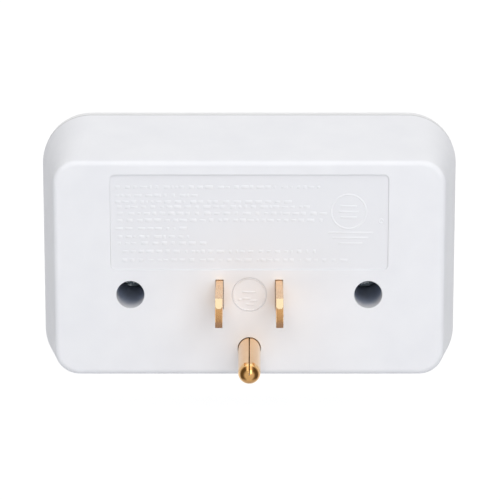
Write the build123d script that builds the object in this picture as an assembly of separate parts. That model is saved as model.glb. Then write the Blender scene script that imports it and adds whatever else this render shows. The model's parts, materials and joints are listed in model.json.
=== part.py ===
from build123d import *
from math import asin, atan, cos, sin
import os

# Plug-in surge protector with three outlets, in millimetres.
# Origin: midway between the two blades, on the rear face that meets the wall plate.
# +X is to the right as the rear is looked at, +Z is up, and depth is measured along +Y,
# from the rear face towards the outlets. The prongs point along -Y.

# Housing outline
BACK_WIDTH = 83.2
BACK_HEIGHT = 46.4
BACK_CORNER = 5.0
BACK_EDGE_RADIUS = 1.2
SIDE_FLARE = 3.6
END_FLARE = 6.1
RIM_CORNER = 10.7
RIM_DEPTH = 21.5
COVER_DEPTH = 8.0
FRONT_BEVEL = 3.7
FRONT_BEVEL_EASE = 1.5
LOWER_EDGE_MARGIN = 5.6
WALL = 2.5
CUT_OVERRUN = 1.0
EDGE_MARGIN = 0.01

# Joint between the two shells
REBATE_INSET = 1.5
REBATE_DEPTH = 2.0
TONGUE_SIDE_CLEARANCE = 0.1
TONGUE_END_CLEARANCE = 0.2

# Marks moulded in the rear face
LABEL_WIDTH = 59.1
LABEL_TOP_MARGIN = 2.8
LABEL_DISC_GAP = 1.65
LABEL_CORNER = 1.1
LABEL_SINK = 0.35
DISC_RADIUS = 3.75
DISC_SINK = 0.25

# Blades of the plug
BLADE_SPACING = 12.7
BLADE_THICKNESS = 1.5
BLADE_HEIGHT = 6.35
BLADE_LENGTH = 17.5
BLADE_EDGE_BEVEL = 1.7
BLADE_SIDE_BEVEL = 0.3
BLADE_SHOULDER = 1.2
BLADE_CLEARANCE = 0.1

# Ground pin of the plug, rolled from sheet
GROUND_DROP = 11.89
GROUND_RADIUS = 2.35
GROUND_LENGTH = 21.4
GROUND_SHEET = 0.8
GROUND_SEAM = 0.25
GROUND_CLEARANCE = 0.12
COLLAR_WIDTH = 6.6
COLLAR_THICKNESS = 1.0
TAIL_WIDTH = 3.4
TAIL_HEIGHT = 2.2

# Outlets
OUTLET_PITCH = 25.4
SLOT_SIDE_CLEARANCE = 0.35
SLOT_END_CLEARANCE = 0.425
NEUTRAL_SLOT_EXTRA = 1.4
GROUND_HOLE_CLEARANCE = 0.3
OUTLET_PANEL_WIDTH = 22.4
OUTLET_PANEL_TOP_MARGIN = 2.2
OUTLET_PANEL_LOWER_MARGIN = 2.36
OUTLET_PANEL_BEVEL = 4.0
OUTLET_PANEL_SINK = 0.6

# Bus bars and their contacts
STRAP_THICKNESS = 0.8
STRAP_STANDOFF = 4.6
LINE_STRAP_WIDTH = 4.4
NEUTRAL_STRAP_WIDTH = 3.2
GROUND_STRAP_WIDTH = 5.0
STRAP_OVERRUN = 2.0
LEAF_THICKNESS = 0.5
LEAF_HEIGHT = 6.0
LEAF_CLEARANCE = 0.1
LEAF_FLARE = 0.6
LEAF_FLARE_LENGTH = 1.4
LEAF_COVER_GAP = 0.8
CUP_CLEARANCE = 0.05
CUP_THICKNESS = 0.6
CUP_SLOT = 3.4
CUP_COVER_GAP = 2.5
STAKE_HEIGHT = 2.4
STAKE_CLEARANCE = 0.05
STAKE_HEAD_THICKNESS = 0.6
STAKE_HEAD_MARGIN = 0.4
GROUND_STAKE_WIDTH = 2.4
GROUND_STAKE_HEIGHT = 1.6
GROUND_STAKE_HEAD = 0.5

# Contact carrier
CARRIER_DEPTH = 7.0
CARRIER_THICKNESS = 2.0
CARRIER_MARGIN = 1.4
CARRIER_CORNER = 2.0
DIVIDER_THICKNESS = 1.2
DIVIDER_HEIGHT = 8.0
CARRIER_HOLE_CLEARANCE = 0.2
PEG_WIDTH = 1.8
PEG_HEAD_MARGIN = 0.5
PEG_HEAD_THICKNESS = 0.4
PEG_CLEARANCE = 0.1
PEG_LEAF_GAP = 0.4
RIB_WIDTH = 1.6
RIB_HEIGHT = 5.0
RIB_OFFSET = 16.0
RIB_RISE = 6.5

# Screw wells, posts and housing screws
WELL_RADIUS = 3.0
WELL_WALL = 1.0
WELL_DEPTH = 20.0
WELL_FLOOR = 1.3
WELL_HOLE_RADIUS = 1.7
POST_WIDTH = 6.4
POST_GAP = 0.2
POST_BORE_FLOOR = 0.2
SCREW_RADIUS = 1.25
SCREW_CLEARANCE = 0.05
SCREW_TIP_GAP = 0.4
SCREW_HEAD_CLEARANCE = 0.3
SCREW_HEAD_HEIGHT = 2.0
CROSS_WIDTH = 0.8
CROSS_LENGTH = 3.2
CROSS_SINK = 1.1

# Circuit board
BOARD_WIDTH = 62.0
BOARD_THICKNESS = 1.6
BOARD_DEPTH = 6.0
BOARD_WALL_GAP = 0.75
BOARD_LEAD_MARGIN = 0.6
STANDOFF_WIDTH = 4.8
BOARD_SCREW_MARGIN = 4.0
BOARD_SCREW_RADIUS = 0.9
BOARD_SCREW_LENGTH = 4.2
BOARD_SCREW_HEAD_RADIUS = 1.8
BOARD_SCREW_HEAD_HEIGHT = 1.3
BOARD_HOLE_CLEARANCE = 0.2
BOARD_CROSS_WIDTH = 0.5
BOARD_CROSS_LENGTH = 2.2
BOARD_CROSS_SINK = 0.6

# Components on the board
PIN_WIDTH = 0.5
PART_TOP_MARGIN = 6.0
SEAT_GAP = 0.3
VARISTOR_RADIUS = 5.5
VARISTOR_SIDES = 16
VARISTOR_THICKNESS = 4.2
VARISTOR_OFFSETS = (-21.0, -14.5, -8.0)
VARISTOR_PIN_SPREAD = 5.0
FUSE_OFFSET = 6.0
FUSE_RADIUS = 2.0
FUSE_LENGTH = 8.0
CAPACITOR_OFFSET = 13.0
CAPACITOR_THICKNESS = 5.0
CAPACITOR_HEIGHT = 11.0
CAPACITOR_DEPTH = 10.0
CAPACITOR_PIN_SPREAD = 7.5
RESISTOR_OFFSET = 18.5
RESISTOR_RADIUS = 1.2
RESISTOR_LENGTH = 6.0
DIODE_OFFSET = 22.0
DIODE_RADIUS = 1.3
DIODE_LENGTH = 5.0
AXIAL_REACH = 1.2

# Indicator
LED_RADIUS = 1.5
LED_LENGTH = 5.0
LED_PIN_SPREAD = 1.6
LENS_RADIUS = 2.0
LENS_FLANGE_WIDTH = 6.0
LENS_FLANGE_THICKNESS = 1.0
LENS_TAIL = 3.0
LENS_CLEARANCE = 0.05
LENS_BOSS_WALL = 1.0
LENS_BOSS_DEPTH = 3.0
LED_LENS_GAP = 0.3

# Insulated leads
LEAD_RADIUS = 0.8
LEAD_SIDES = 8
LEAD_EDGE_GAP = 1.2
LEAD_RUN_GAP = 1.0
GROUND_LEAD_OFFSET = 10.6

# Places worked out from the sizes above
BODY_RISE = BACK_HEIGHT / 2 - GROUND_DROP - LOWER_EDGE_MARGIN
BACK_TOP = BODY_RISE + BACK_HEIGHT / 2
CORNER_REACH = RIM_CORNER + BACK_CORNER
FRONT_DEPTH = RIM_DEPTH + COVER_DEPTH
COVER_INNER = FRONT_DEPTH - WALL
OUTLETS = (-OUTLET_PITCH, 0.0, OUTLET_PITCH)
SCREWS = (-OUTLET_PITCH, OUTLET_PITCH)
LINE_SIDE = -1
NEUTRAL_SIDE = 1
BLADE_OFFSET = BLADE_SPACING / 2
CARRIER_FRONT = CARRIER_DEPTH + CARRIER_THICKNESS
STRAP_FRONT = CARRIER_FRONT + STRAP_THICKNESS
GROUND_STRAP_BACK = CARRIER_DEPTH - STRAP_THICKNESS
LINE_STRAP_RISE = STRAP_STANDOFF + LINE_STRAP_WIDTH / 2
NEUTRAL_STRAP_RISE = -STRAP_STANDOFF - NEUTRAL_STRAP_WIDTH / 2
LEAF_REACH = BLADE_THICKNESS / 2 + LEAF_CLEARANCE + LEAF_THICKNESS
CUP_INNER = GROUND_RADIUS + CUP_CLEARANCE
CUP_OUTER = CUP_INNER + CUP_THICKNESS
LABEL_LOW = DISC_RADIUS + LABEL_DISC_GAP
LABEL_HIGH = BACK_TOP - LABEL_TOP_MARGIN
SLOT_WIDTH = BLADE_THICKNESS + 2 * SLOT_SIDE_CLEARANCE
LINE_SLOT_HEIGHT = BLADE_HEIGHT + 2 * SLOT_END_CLEARANCE
NEUTRAL_SLOT_HEIGHT = LINE_SLOT_HEIGHT + NEUTRAL_SLOT_EXTRA
GROUND_HOLE_RADIUS = GROUND_RADIUS + GROUND_HOLE_CLEARANCE
PANEL_HIGH = NEUTRAL_SLOT_HEIGHT / 2 + OUTLET_PANEL_TOP_MARGIN
PANEL_LOW = -GROUND_DROP - GROUND_HOLE_RADIUS - OUTLET_PANEL_LOWER_MARGIN
WELL_OUTER_WIDTH = 2 * (WELL_RADIUS + WELL_WALL)
WELL_END = WELL_DEPTH + WELL_FLOOR
BORE_END = COVER_INNER - POST_BORE_FLOOR
SCREW_HEAD_RADIUS = WELL_RADIUS - SCREW_HEAD_CLEARANCE
CARRIER_HIGH = STRAP_STANDOFF + LINE_STRAP_WIDTH + CARRIER_MARGIN
CARRIER_LOW = -GROUND_DROP - CUP_OUTER - CARRIER_MARGIN
PEG_HEAD_WIDTH = PEG_WIDTH + 2 * PEG_HEAD_MARGIN
PEG_OFFSET = OUTLET_PITCH - BLADE_OFFSET - LEAF_REACH - PEG_LEAF_GAP - PEG_HEAD_WIDTH / 2
LEAD_RISE = CARRIER_HIGH + LEAD_EDGE_GAP + LEAD_RADIUS
LINE_LEAD_OFFSET = (VARISTOR_OFFSETS[1] + VARISTOR_OFFSETS[2]) / 2
NEUTRAL_LEAD_OFFSET = (FUSE_OFFSET + FUSE_RADIUS + CAPACITOR_OFFSET - CAPACITOR_THICKNESS / 2) / 2
BOARD_FRONT = BOARD_DEPTH + BOARD_THICKNESS
BOARD_HIGH = BACK_TOP + END_FLARE * BOARD_DEPTH / RIM_DEPTH - WALL - BOARD_WALL_GAP
BOARD_LOW = LEAD_RISE - LEAD_RADIUS - BOARD_LEAD_MARGIN
BOARD_RISE = (BOARD_LOW + BOARD_HIGH) / 2
BOARD_SCREW_OFFSET = BOARD_WIDTH / 2 - BOARD_SCREW_MARGIN
PART_RISE = BOARD_HIGH - PART_TOP_MARGIN
LENS_BACK = COVER_INNER - LENS_TAIL
LED_TIP = LENS_BACK - LED_LENS_GAP


# Helpers
def upright(depth):
    """Plane across the body at a depth; a sketch on it has X across and Z up."""
    return Plane.XZ.offset(-depth)


def prism(sketch, start, end):
    """Solid of one sketch between two depths."""
    return extrude(upright(start) * sketch, amount=start - end)


def rod(radius, start, end, x=0.0, z=0.0):
    """Round solid along the depth, centred on x and z."""
    return prism(Pos(x, z) * Circle(radius), start, end)


def bar(width, height, start, end, x=0.0, z=0.0):
    """Rectangular solid along the depth, centred on x and z."""
    return prism(Pos(x, z) * Rectangle(width, height), start, end)


def body_outline(depth, inset=0.0):
    """Rounded outline of the rear housing at a depth, moved inwards by an inset."""
    share = depth / RIM_DEPTH
    width = BACK_WIDTH + 2 * SIDE_FLARE * share - 2 * inset
    height = BACK_HEIGHT + 2 * END_FLARE * share - 2 * inset
    corner = BACK_CORNER + (RIM_CORNER - BACK_CORNER) * share - inset
    return Pos(0, BODY_RISE) * RectangleRounded(width, height, corner)


def corner_ball(depth, side, end, inset):
    """Centre and radius of the ball that rounds one sloping corner at a depth."""
    share = depth / RIM_DEPTH
    side_angle = atan(SIDE_FLARE / RIM_DEPTH)
    end_angle = atan(END_FLARE / RIM_DEPTH)
    corner = BACK_CORNER + (RIM_CORNER - BACK_CORNER) * share - inset
    radius = corner * cos(end_angle)
    x = BACK_WIDTH / 2 - inset + SIDE_FLARE * share - radius / cos(side_angle)
    z = BACK_HEIGHT / 2 - inset + END_FLARE * share - radius / cos(end_angle)
    return Vector(side * x, depth, BODY_RISE + end * z), radius


def corner_zone(start, end, side, end_side, inset):
    """Cone that rounds one sloping corner, and the block of the corner that it replaces."""
    side_angle = atan(SIDE_FLARE / RIM_DEPTH)
    end_angle = atan(END_FLARE / RIM_DEPTH)
    first, first_radius = corner_ball(start - CUT_OVERRUN, side, end_side, inset)
    last, last_radius = corner_ball(end + CORNER_REACH, side, end_side, inset)
    axis = last - first
    widen = 1 / cos(asin((last_radius - first_radius) / axis.length))
    from_base = (Align.CENTER, Align.CENTER, Align.MIN)
    cone = Cone(first_radius * widen, last_radius * widen, axis.length, align=from_base)
    outward = CORNER_REACH * Vector(side * cos(side_angle), -sin(side_angle), 0)
    upward = CORNER_REACH * Vector(0, -sin(end_angle), end_side * cos(end_angle))
    steps = (Vector(0, 0, 0), outward, upward, outward + upward)
    zone = ConvexPolyhedron([point + step for point in (first, last) for step in steps])
    return Plane(origin=first, z_dir=axis) * cone, zone


def tapered(start, end, inset=0.0):
    """Solid between two depths that follows the slopes and corners of the rear housing."""
    points = []
    for depth in (start, end):
        x = BACK_WIDTH / 2 + SIDE_FLARE * depth / RIM_DEPTH - inset
        z = BACK_HEIGHT / 2 + END_FLARE * depth / RIM_DEPTH - inset
        points += [(side * x, depth, BODY_RISE + up * z) for side in (-1, 1) for up in (-1, 1)]
    block = ConvexPolyhedron(points)
    body = block
    for side in (-1, 1):
        for end_side in (-1, 1):
            cone, zone = corner_zone(start, end, side, end_side, inset)
            body = body - zone + (cone & zone & block)
    return body


def cross_recess(width, length, sink, head_top, x, z):
    """Cross-shaped driver recess, cut from a screw head whose top is at head_top."""
    cross = Rectangle(width, length) + Rectangle(length, width)
    return prism(Pos(x, z) * cross, head_top, head_top + sink)


def folded_lead(points, radius):
    """Wire through points, with a few flat sides, folded sharply at each of them."""
    path = Polyline(*points)
    section = Plane(origin=path @ 0, z_dir=path % 0) * RegularPolygon(radius, LEAD_SIDES)
    return sweep(section, path=path, transition=Transition.RIGHT)


# Shells
def rear_housing():
    """Tapered rear shell with wells, board standoffs and carrier ribs."""
    shell = tapered(0, RIM_DEPTH)
    back_edges = shell.faces().sort_by(Axis.Y)[0].edges()
    shell = fillet(back_edges, BACK_EDGE_RADIUS)
    shell -= tapered(WALL, RIM_DEPTH, WALL)
    shell -= prism(body_outline(RIM_DEPTH, REBATE_INSET), RIM_DEPTH - REBATE_DEPTH, RIM_DEPTH)
    for x in SCREWS:
        shell += bar(WELL_OUTER_WIDTH, WELL_OUTER_WIDTH, WALL, WELL_END, x)
        shell -= rod(WELL_RADIUS, 0, WELL_DEPTH, x)
        shell -= rod(WELL_HOLE_RADIUS, WELL_DEPTH, WELL_END, x)
    for x in (-RIB_OFFSET, RIB_OFFSET):
        for z in (-RIB_RISE, RIB_RISE):
            shell += bar(RIB_WIDTH, RIB_HEIGHT, WALL, CARRIER_DEPTH, x, z)
    for x in (-BOARD_SCREW_OFFSET, BOARD_SCREW_OFFSET):
        shell += bar(STANDOFF_WIDTH, STANDOFF_WIDTH, WALL, BOARD_DEPTH, x, BOARD_RISE)
        bore = BOARD_SCREW_RADIUS + SCREW_CLEARANCE
        shell -= rod(bore, WALL, BOARD_DEPTH, x, BOARD_RISE)
    for side in (LINE_SIDE, NEUTRAL_SIDE):
        width = BLADE_THICKNESS + 2 * BLADE_CLEARANCE
        height = BLADE_HEIGHT + 2 * BLADE_CLEARANCE
        shell -= bar(width, height, 0, WALL, side * BLADE_OFFSET)
    shell -= rod(GROUND_RADIUS + GROUND_CLEARANCE, 0, WALL, z=-GROUND_DROP)
    label = RectangleRounded(LABEL_WIDTH, LABEL_HIGH - LABEL_LOW, LABEL_CORNER)
    shell -= prism(Pos(0, (LABEL_LOW + LABEL_HIGH) / 2) * label, 0, LABEL_SINK)
    shell -= rod(DISC_RADIUS, 0, DISC_SINK)
    return shell


def front_cover():
    """Front shell with three outlets, screw posts, locating tongue and lens boss."""
    cover = prism(body_outline(RIM_DEPTH), RIM_DEPTH, FRONT_DEPTH)
    cover = chamfer(cover.faces().sort_by(Axis.Y)[-1].edges(), FRONT_BEVEL)
    bevel_start = FRONT_DEPTH - FRONT_BEVEL
    bevel_edges = [
        edge
        for edge in cover.edges()
        if edge.bounding_box().min.Y > bevel_start - EDGE_MARGIN
        and edge.bounding_box().size.Y < EDGE_MARGIN
    ]
    cover = chamfer(bevel_edges, FRONT_BEVEL_EASE)
    cover -= prism(body_outline(RIM_DEPTH, WALL), RIM_DEPTH, COVER_INNER)
    tongue_start = RIM_DEPTH - REBATE_DEPTH + TONGUE_END_CLEARANCE
    tongue = body_outline(RIM_DEPTH, REBATE_INSET + TONGUE_SIDE_CLEARANCE)
    tongue -= body_outline(RIM_DEPTH, WALL)
    cover += prism(tongue, tongue_start, RIM_DEPTH)
    for x in SCREWS:
        cover += bar(POST_WIDTH, POST_WIDTH, WELL_END + POST_GAP, COVER_INNER, x)
        bore = SCREW_RADIUS + SCREW_CLEARANCE
        cover -= rod(bore, WELL_END + POST_GAP, BORE_END, x)
    for x in OUTLETS:
        panel = Rectangle(OUTLET_PANEL_WIDTH, PANEL_HIGH - PANEL_LOW)
        panel = chamfer(panel.vertices(), OUTLET_PANEL_BEVEL)
        panel_floor = FRONT_DEPTH - OUTLET_PANEL_SINK
        cover -= prism(Pos(x, (PANEL_LOW + PANEL_HIGH) / 2) * panel, panel_floor, FRONT_DEPTH)
        line_x = x + LINE_SIDE * BLADE_OFFSET
        neutral_x = x + NEUTRAL_SIDE * BLADE_OFFSET
        cover -= bar(SLOT_WIDTH, LINE_SLOT_HEIGHT, COVER_INNER, FRONT_DEPTH, line_x)
        cover -= bar(SLOT_WIDTH, NEUTRAL_SLOT_HEIGHT, COVER_INNER, FRONT_DEPTH, neutral_x)
        cover -= rod(GROUND_HOLE_RADIUS, COVER_INNER, FRONT_DEPTH, x, -GROUND_DROP)
    pocket = LENS_FLANGE_WIDTH + 2 * LENS_CLEARANCE
    boss_width = pocket + 2 * LENS_BOSS_WALL
    boss_start = COVER_INNER - LENS_BOSS_DEPTH
    cover += bar(boss_width, boss_width, boss_start, COVER_INNER, z=PART_RISE)
    cover -= bar(pocket, pocket, boss_start, COVER_INNER, z=PART_RISE)
    cover -= rod(LENS_RADIUS + LENS_CLEARANCE, COVER_INNER, FRONT_DEPTH, z=PART_RISE)
    return cover


# Plug prongs
def blade(side, strap_rise, strap_width):
    """Flat blade: bevelled tip, shouldered head inside, and a stake for its strap."""
    x = side * BLADE_OFFSET
    tip = -BLADE_LENGTH
    prong = bar(BLADE_THICKNESS, BLADE_HEIGHT, tip, WALL, x)
    end_edges = prong.faces().sort_by(Axis.Y)[0].edges()
    prong = chamfer(end_edges.filter_by(Axis.X), BLADE_EDGE_BEVEL)
    end_edges = prong.faces().sort_by(Axis.Y)[0].edges()
    prong = chamfer(end_edges.filter_by(Axis.Z), BLADE_SIDE_BEVEL)
    far = strap_rise + (strap_width / 2 if strap_rise > 0 else -strap_width / 2)
    near = BLADE_HEIGHT / 2 + BLADE_SHOULDER
    low = min(far, -near)
    high = max(far, near)
    prong += bar(BLADE_THICKNESS, high - low, WALL, CARRIER_DEPTH, x, (low + high) / 2)
    prong += bar(BLADE_THICKNESS, STAKE_HEIGHT, CARRIER_DEPTH, STRAP_FRONT, x, strap_rise)
    margin = 2 * STAKE_HEAD_MARGIN
    head_end = STRAP_FRONT + STAKE_HEAD_THICKNESS
    prong += bar(BLADE_THICKNESS + margin, STAKE_HEIGHT + margin, STRAP_FRONT, head_end, x, strap_rise)
    return prong


def ground_pin():
    """Rolled pin: hollow shank with a seam on top, round nose, collar and staked tail."""
    nose = GROUND_RADIUS - GROUND_LENGTH
    pin = rod(GROUND_RADIUS, nose, WALL) + Pos(0, nose, 0) * Sphere(GROUND_RADIUS)
    pin -= rod(GROUND_RADIUS - GROUND_SHEET, nose, WALL)
    seam = Pos(0, GROUND_RADIUS / 2) * Rectangle(GROUND_SEAM, GROUND_RADIUS)
    pin -= prism(seam, -GROUND_LENGTH, WALL)
    collar_end = WALL + COLLAR_THICKNESS
    pin += bar(COLLAR_WIDTH, COLLAR_WIDTH, WALL, collar_end)
    pin += bar(TAIL_WIDTH, TAIL_HEIGHT, collar_end, GROUND_STRAP_BACK)
    pin += bar(GROUND_STAKE_WIDTH, GROUND_STAKE_HEIGHT, GROUND_STRAP_BACK, CARRIER_DEPTH)
    margin = 2 * STAKE_HEAD_MARGIN
    head_end = CARRIER_DEPTH + GROUND_STAKE_HEAD
    pin += bar(GROUND_STAKE_WIDTH + margin, GROUND_STAKE_HEIGHT + margin, CARRIER_DEPTH, head_end)
    return Pos(0, 0, -GROUND_DROP) * pin


# Contact system
def leaf_contact():
    """Contact for one blade, seen from above: a base and two flared spring leaves."""
    leaf_end = COVER_INNER - LEAF_COVER_GAP
    flare_start = leaf_end - LEAF_FLARE_LENGTH
    inner = LEAF_REACH - LEAF_THICKNESS
    right = [
        (0, CARRIER_FRONT),
        (LEAF_REACH, CARRIER_FRONT),
        (LEAF_REACH, flare_start),
        (LEAF_REACH + LEAF_FLARE, leaf_end),
        (inner + LEAF_FLARE, leaf_end),
        (inner, flare_start),
        (inner, STRAP_FRONT),
        (0, STRAP_FRONT),
    ]
    half = make_face(Polyline(*right, close=True))
    profile = half + mirror(half, Plane.YZ)
    return extrude(Pos(0, 0, -LEAF_HEIGHT / 2) * profile, amount=LEAF_HEIGHT)


def power_bus_bar(side, strap_rise, strap_width):
    """Line or neutral strap with one leaf contact for each outlet."""
    places = [x + side * BLADE_OFFSET for x in OUTLETS]
    left = places[0] - LEAF_REACH - STRAP_OVERRUN
    right = places[-1] + LEAF_REACH + STRAP_OVERRUN
    middle = (left + right) / 2
    strap = bar(right - left, strap_width, CARRIER_FRONT, STRAP_FRONT, middle, strap_rise)
    direction = 1 if strap_rise > 0 else -1
    leaf_edge = direction * LEAF_HEIGHT / 2
    strap_edge = direction * STRAP_STANDOFF
    neck = abs(strap_edge - leaf_edge)
    neck_rise = (strap_edge + leaf_edge) / 2
    for x in places:
        strap += Pos(x, 0, 0) * leaf_contact()
        strap += bar(2 * LEAF_REACH, neck, CARRIER_FRONT, STRAP_FRONT, x, neck_rise)
    hole = PEG_WIDTH + 2 * PEG_CLEARANCE
    strap -= bar(hole, hole, CARRIER_FRONT, STRAP_FRONT, -side * PEG_OFFSET, strap_rise)
    slot = 2 * STAKE_CLEARANCE
    stake_x = side * BLADE_OFFSET
    strap -= bar(
        BLADE_THICKNESS + slot, STAKE_HEIGHT + slot, CARRIER_FRONT, STRAP_FRONT, stake_x, strap_rise
    )
    return strap


def ground_bus_bar():
    """Ground strap behind the carrier, with a split cup for each ground pin."""
    z = -GROUND_DROP
    length = 2 * (OUTLET_PITCH + CUP_OUTER + STRAP_OVERRUN)
    strap = bar(length, GROUND_STRAP_WIDTH, GROUND_STRAP_BACK, CARRIER_DEPTH, z=z)
    cup_end = COVER_INNER - CUP_COVER_GAP
    ring = Circle(CUP_OUTER) - Circle(CUP_INNER) - Rectangle(CUP_SLOT, 2 * CUP_OUTER)
    for x in OUTLETS:
        strap += prism(Pos(x, z) * ring, CARRIER_DEPTH, cup_end)
    slot = 2 * STAKE_CLEARANCE
    width = GROUND_STAKE_WIDTH + slot
    strap -= bar(width, GROUND_STAKE_HEIGHT + slot, GROUND_STRAP_BACK, CARRIER_DEPTH, z=z)
    hole = PEG_WIDTH + 2 * PEG_CLEARANCE
    strap -= bar(hole, hole, GROUND_STRAP_BACK, CARRIER_DEPTH, -PEG_OFFSET, z)
    return strap


def peg(x, z, face, strap_face):
    """Peg melted over a strap: from the carrier's face, through the strap, to its head."""
    toward = 1 if strap_face > face else -1
    head_end = strap_face + toward * PEG_HEAD_THICKNESS
    shank = bar(PEG_WIDTH, PEG_WIDTH, min(face, strap_face), max(face, strap_face), x, z)
    near, far = sorted((strap_face, head_end))
    return shank + bar(PEG_HEAD_WIDTH, PEG_HEAD_WIDTH, near, far, x, z)


def contact_carrier():
    """Insulating plate with dividers, holding all three bus bars apart."""
    reach = OUTLET_PITCH + BLADE_OFFSET + LEAF_REACH + STRAP_OVERRUN + CARRIER_MARGIN
    outline = RectangleRounded(2 * reach, CARRIER_HIGH - CARRIER_LOW, CARRIER_CORNER)
    outline = Pos(0, (CARRIER_LOW + CARRIER_HIGH) / 2) * outline
    carrier = prism(outline, CARRIER_DEPTH, CARRIER_FRONT)
    for x in (-OUTLET_PITCH / 2, 0.0, OUTLET_PITCH / 2):
        carrier += bar(DIVIDER_THICKNESS, DIVIDER_HEIGHT, CARRIER_FRONT, COVER_INNER, x)
    slot = 2 * CARRIER_HOLE_CLEARANCE
    well_hole = WELL_OUTER_WIDTH + slot
    for x in SCREWS:
        carrier -= bar(well_hole, well_hole, CARRIER_DEPTH, CARRIER_FRONT, x)
    cup_hole = 2 * CUP_OUTER + slot
    for x in OUTLETS:
        carrier -= bar(cup_hole, cup_hole, CARRIER_DEPTH, CARRIER_FRONT, x, -GROUND_DROP)
    for side, rise in ((LINE_SIDE, LINE_STRAP_RISE), (NEUTRAL_SIDE, NEUTRAL_STRAP_RISE)):
        carrier -= bar(
            BLADE_THICKNESS + slot,
            STAKE_HEIGHT + slot,
            CARRIER_DEPTH,
            CARRIER_FRONT,
            side * BLADE_OFFSET,
            rise,
        )
    carrier += peg(-LINE_SIDE * PEG_OFFSET, LINE_STRAP_RISE, CARRIER_FRONT, STRAP_FRONT)
    carrier += peg(-NEUTRAL_SIDE * PEG_OFFSET, NEUTRAL_STRAP_RISE, CARRIER_FRONT, STRAP_FRONT)
    carrier += peg(-PEG_OFFSET, -GROUND_DROP, CARRIER_DEPTH, GROUND_STRAP_BACK)
    return carrier


# Screws
def housing_screw(x):
    """Pan-head screw that pulls the front cover onto the rear housing."""
    head_top = WELL_DEPTH - SCREW_HEAD_HEIGHT
    screw = rod(SCREW_HEAD_RADIUS, head_top, WELL_DEPTH, x)
    screw += rod(SCREW_RADIUS, WELL_DEPTH, BORE_END - SCREW_TIP_GAP, x)
    return screw - cross_recess(CROSS_WIDTH, CROSS_LENGTH, CROSS_SINK, head_top, x, 0)


def board_screw(x):
    """Small pan-head screw that holds the board on its standoff, driven from the front."""
    head_top = BOARD_FRONT + BOARD_SCREW_HEAD_HEIGHT
    screw = rod(BOARD_SCREW_HEAD_RADIUS, BOARD_FRONT, head_top, x, BOARD_RISE)
    screw += rod(BOARD_SCREW_RADIUS, BOARD_FRONT - BOARD_SCREW_LENGTH, BOARD_FRONT, x, BOARD_RISE)
    floor = head_top - BOARD_CROSS_SINK
    recess = cross_recess(
        BOARD_CROSS_WIDTH, BOARD_CROSS_LENGTH, BOARD_CROSS_SINK, floor, x, BOARD_RISE
    )
    return screw - recess


# Circuit board and what it carries
def circuit_board():
    """Flat board with its two screw holes."""
    height = BOARD_HIGH - BOARD_LOW
    board = bar(BOARD_WIDTH, height, BOARD_DEPTH, BOARD_FRONT, z=BOARD_RISE)
    for x in (-BOARD_SCREW_OFFSET, BOARD_SCREW_OFFSET):
        hole = BOARD_SCREW_RADIUS + BOARD_HOLE_CLEARANCE
        board -= rod(hole, BOARD_DEPTH, BOARD_FRONT, x, BOARD_RISE)
    return board


def straight_pin(x, z, end):
    """Straight square conductor from the board's face to a component."""
    return bar(PIN_WIDTH, PIN_WIDTH, BOARD_FRONT, end, x, z)


def varistor(x):
    """Coated disc standing on edge over the board, on two pins."""
    centre = BOARD_FRONT + SEAT_GAP + VARISTOR_RADIUS
    outline = Plane.YZ * RegularPolygon(VARISTOR_RADIUS, VARISTOR_SIDES)
    disc = extrude(outline, amount=VARISTOR_THICKNESS / 2, both=True)
    body = Pos(x, centre, PART_RISE) * disc
    for z in (-VARISTOR_PIN_SPREAD / 2, VARISTOR_PIN_SPREAD / 2):
        body += straight_pin(x, PART_RISE + z, centre)
    return body


def axial_part(x, radius, length):
    """Cylinder lying along Z over the board, with its wires bent down to it at both ends."""
    depth = BOARD_FRONT + SEAT_GAP + radius
    body = Pos(x, depth, PART_RISE) * Cylinder(radius, length)
    reach = length / 2 + AXIAL_REACH
    body += bar(PIN_WIDTH, 2 * reach, depth - PIN_WIDTH / 2, depth + PIN_WIDTH / 2, x, PART_RISE)
    for z in (-reach, reach):
        body += straight_pin(x, PART_RISE + z, depth + PIN_WIDTH / 2)
    return body


def filter_capacitor():
    """Box-shaped film capacitor on two pins."""
    start = BOARD_FRONT + SEAT_GAP
    end = start + CAPACITOR_DEPTH
    body = bar(CAPACITOR_THICKNESS, CAPACITOR_HEIGHT, start, end, CAPACITOR_OFFSET, PART_RISE)
    for z in (-CAPACITOR_PIN_SPREAD / 2, CAPACITOR_PIN_SPREAD / 2):
        body += straight_pin(CAPACITOR_OFFSET, PART_RISE + z, start)
    return body


def indicator_led():
    """Flat-topped lamp on two long pins, just behind the lens."""
    base = LED_TIP - LED_LENGTH
    lamp = rod(LED_RADIUS, base, LED_TIP, z=PART_RISE)
    for x in (-LED_PIN_SPREAD / 2, LED_PIN_SPREAD / 2):
        lamp += straight_pin(x, PART_RISE, base)
    return lamp


def indicator_lens():
    """Clear guide with a square flange that carries the lamp's light to the front face."""
    lens = rod(LENS_RADIUS, LENS_BACK, FRONT_DEPTH)
    flange_start = COVER_INNER - LENS_FLANGE_THICKNESS
    lens += bar(LENS_FLANGE_WIDTH, LENS_FLANGE_WIDTH, flange_start, COVER_INNER)
    return Pos(0, 0, PART_RISE) * lens


def front_lead(x, strap_rise):
    """Insulated lead from the board's front, over the carrier, to a power strap."""
    run = STRAP_FRONT + LEAD_RUN_GAP + LEAD_RADIUS
    points = [
        (x, BOARD_FRONT, LEAD_RISE),
        (x, run, LEAD_RISE),
        (x, run, strap_rise),
        (x, STRAP_FRONT, strap_rise),
    ]
    return folded_lead(points, LEAD_RADIUS)


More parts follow.
